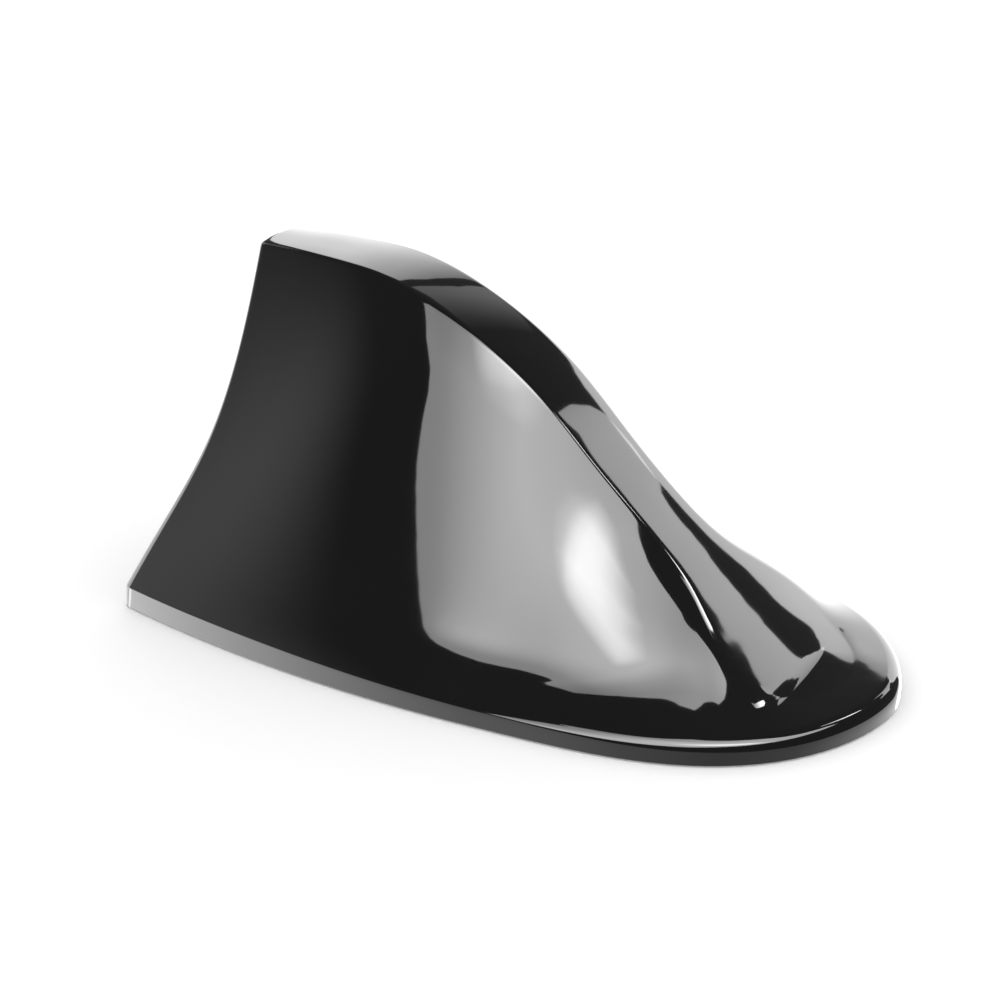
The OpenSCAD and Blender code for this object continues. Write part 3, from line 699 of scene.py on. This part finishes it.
def front_level(az, el):
    """The front box: brighter away from its lower left corner, dimmer towards its top."""
    fan = math.degrees(math.atan2(az + 16, el + 10))
    side = np.interp(fan, [12, 16, 25, 35, 43, 55, 64], [5, 5.4, 7.6, 9.8, 11, 10, 8.5])
    return side * np.interp(el, [44, 54, 62], [1, 0.72, 0.6])


def make_lights():
    """The cards that the gloss reflects, each at the distance where it best meets the photograph."""
    # The soft box on the near flank, and the brighter patch in it.
    lit_card("front_box",
             [(-15, -6), (-14.5, 0), (-13.5, 8), (-12.3, 18), (-11.2, 27), (-9.8, 34), (-8.3, 38.5),
              (-8.5, 41.5), (-12, 44), (-12.5, 46.5), (-10, 50), (-7, 55), (6, 60), (24, 65.5), (43, 70.5)],
             [(-2, 0), (20, 12), (50, 22), (88, 28), (104, 30), (103, 35), (92, 39.5), (87, 43), (85, 46),
              (84.5, 49), (84, 52), (80, 57), (68, 61), (58, 65), (56, 70.8)],
             front_level, distance=0.2, steps=96, count=141)
    lit_card("hot_lamp", [(13, 39.5), (24, 40.2), (36, 40), (54, 40.5), (70, 42)],
             [(13, 47), (28, 54), (44, 58), (61, 57), (76, 50)],
             [0, 3, 10, 13, 13, 12, 8, 3, 0], steps=48, count=65, ends=(0, 0.5, 0.8, 1, 1, 1, 0.9, 0.4, 0))
    # The thin bright line on the crest's near edge, and the long light down the crest.
    lit_card("crease_lamp",
             [(112, 42.7), (115.8, 42), (118, 40), (121, 37.2), (124.7, 33.8), (127, 32.2)],
             [(112, 43), (118.5, 44.8), (122, 43), (124.5, 41), (128, 37.5), (128.6, 34)],
             1.0, distance=0.2, count=49, ends=(3, 6, 12, 20, 23, 21))
    lit_card("crest_strip",
             [(131.3, 21.9), (132.8, 20.9), (134.4, 20), (136.4, 17.8), (139, 16.1), (140.4, 17.6),
              (142.4, 19.2), (144.6, 18.8), (146.8, 19.1), (149, 18.9), (151.3, 19), (153, 18.1),
              (154.9, 18.9), (155.4, 21), (154.3, 24), (151.9, 27.2)],
             [(131.4, 23), (132.3, 24.2), (133.8, 24.6), (135.4, 24.2), (137.3, 24), (138.8, 24.9),
              (140.1, 25.3), (141.2, 26.3), (142.2, 26.9), (143.8, 27.2), (145, 28), (145.3, 30),
              (146, 32), (147.3, 31.2), (149.2, 29.9), (150.8, 28.6)],
             1.0, distance=0.22, steps=24, count=121,
             ends=(4.2, 4.6, 4.8, 4.8, 4.8, 4.8, 4.7, 4.6, 4.4, 4.2, 4, 3.8, 3.5, 3.3, 3.1, 3))
    # The box beyond the cover, whose edge ends the light on the far flank and on the rear of the crest.
    rear_edge = [(150, -35), (154, -20), (155, 0), (153.5, 9), (153.5, 12.5), (154.8, 16), (157.5, 19.5),
                 (159.5, 21.8), (162.5, 23.2), (168, 24.6), (173, 25.6), (178, 26.3), (184, 27.2), (186, 28),
                 (189, 31), (190.5, 36), (192, 40), (197, 45)]
    lit_card("rear_box", rear_edge, [(222, el) for az, el in rear_edge[:-1]] + [(222, 48)],
             rear_level, distance=0.4, steps=48, count=113)
    # The faint light past the dark line across the crest.
    faint_edge = [(187, 33), (188.5, 36.7), (189, 40.6), (191, 44.2), (193.5, 47.5), (197, 50.6)]
    lit_card("crest_faint", faint_edge, [(172, el) for az, el in faint_edge], [0.9, 0.8, 0.5, 0.2, 0],
             distance=0.2)
    # Light on the rolled rear edge, above and below the horizon, and on the skirt.
    lit_card("side_card", [(-125, -1), (-125, 55)], [(-71, -1), (-71, 55)], [1.1, 2.6, 4.5])
    lit_card("edge_card", [(-125, -50), (-125, -1)], [(-71, -50), (-71, -1)], [1.1, 2.6, 4.5])
    lit_card("floor_card", [(az, -40) for az in FLOOR_AZ], [(az, -10) for az in FLOOR_AZ], 1.0,
             ends=(5.5, 4.6, 2.5, 1.7, 1.0, 0.6, 0.8, 1.6, 2.2, 2.2))


# Build
cover = make_cover()
cover.data.materials.clear()
cover.data.materials.append(piano_black())
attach(cover, "root")
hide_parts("cover")
for name, finish in finishes().items():
    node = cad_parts[name]
    node.data.materials.clear()
    node.data.materials.append(finish)
make_world()
make_floor()
make_lights()
make_camera()
bpy.context.scene.view_settings.view_transform = "Standard"
